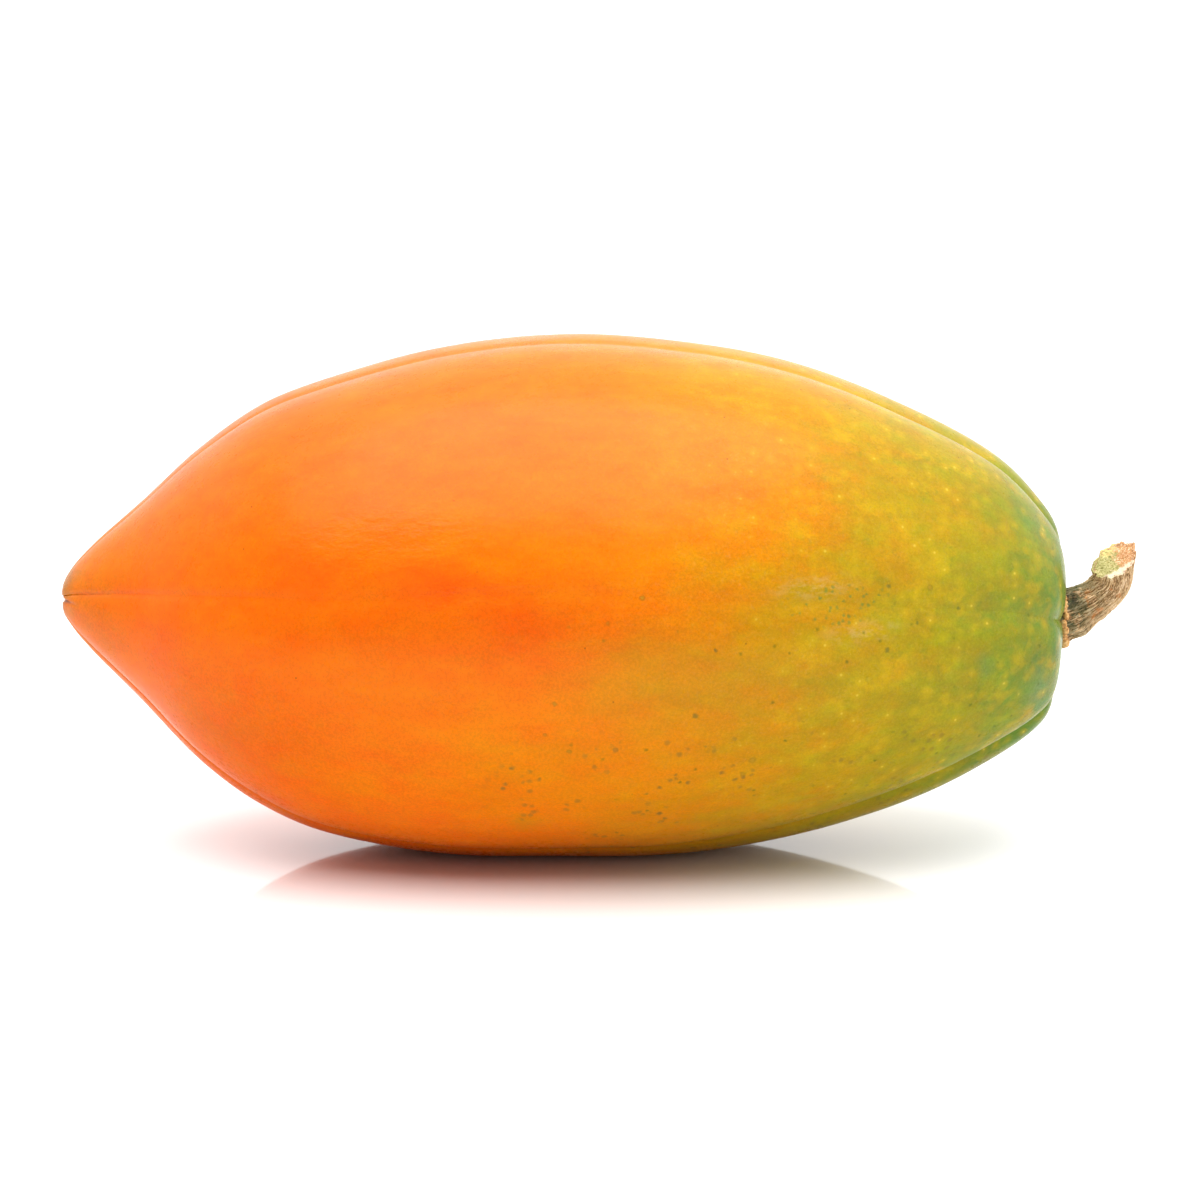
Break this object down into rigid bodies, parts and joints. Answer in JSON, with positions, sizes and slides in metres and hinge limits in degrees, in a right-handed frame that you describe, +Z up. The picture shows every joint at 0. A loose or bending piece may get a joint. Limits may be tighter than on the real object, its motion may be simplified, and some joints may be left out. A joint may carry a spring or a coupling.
{
  "type": "papaya",
  "caption": "Whole ripe papaya lying on its side: a ribbed oval fruit with a pointed blossom end and a short cut stalk on a ring of cork.",
  "frame": {"origin": "middle of the small flat spot that the fruit rests on, under its balance point", "axes": "+X along the fruit from the blossom end to the stalk, +Z up, -Y towards the side shown in the picture"},
  "size_m": [0.2302, 0.1126, 0.1108],
  "materials": {
    "skin": "satin",
    "bark": "matte"
  },
  "bodies": {
    "root": {"fruit": "skin", "stalk": "bark"}
  },
  "joints": []
}
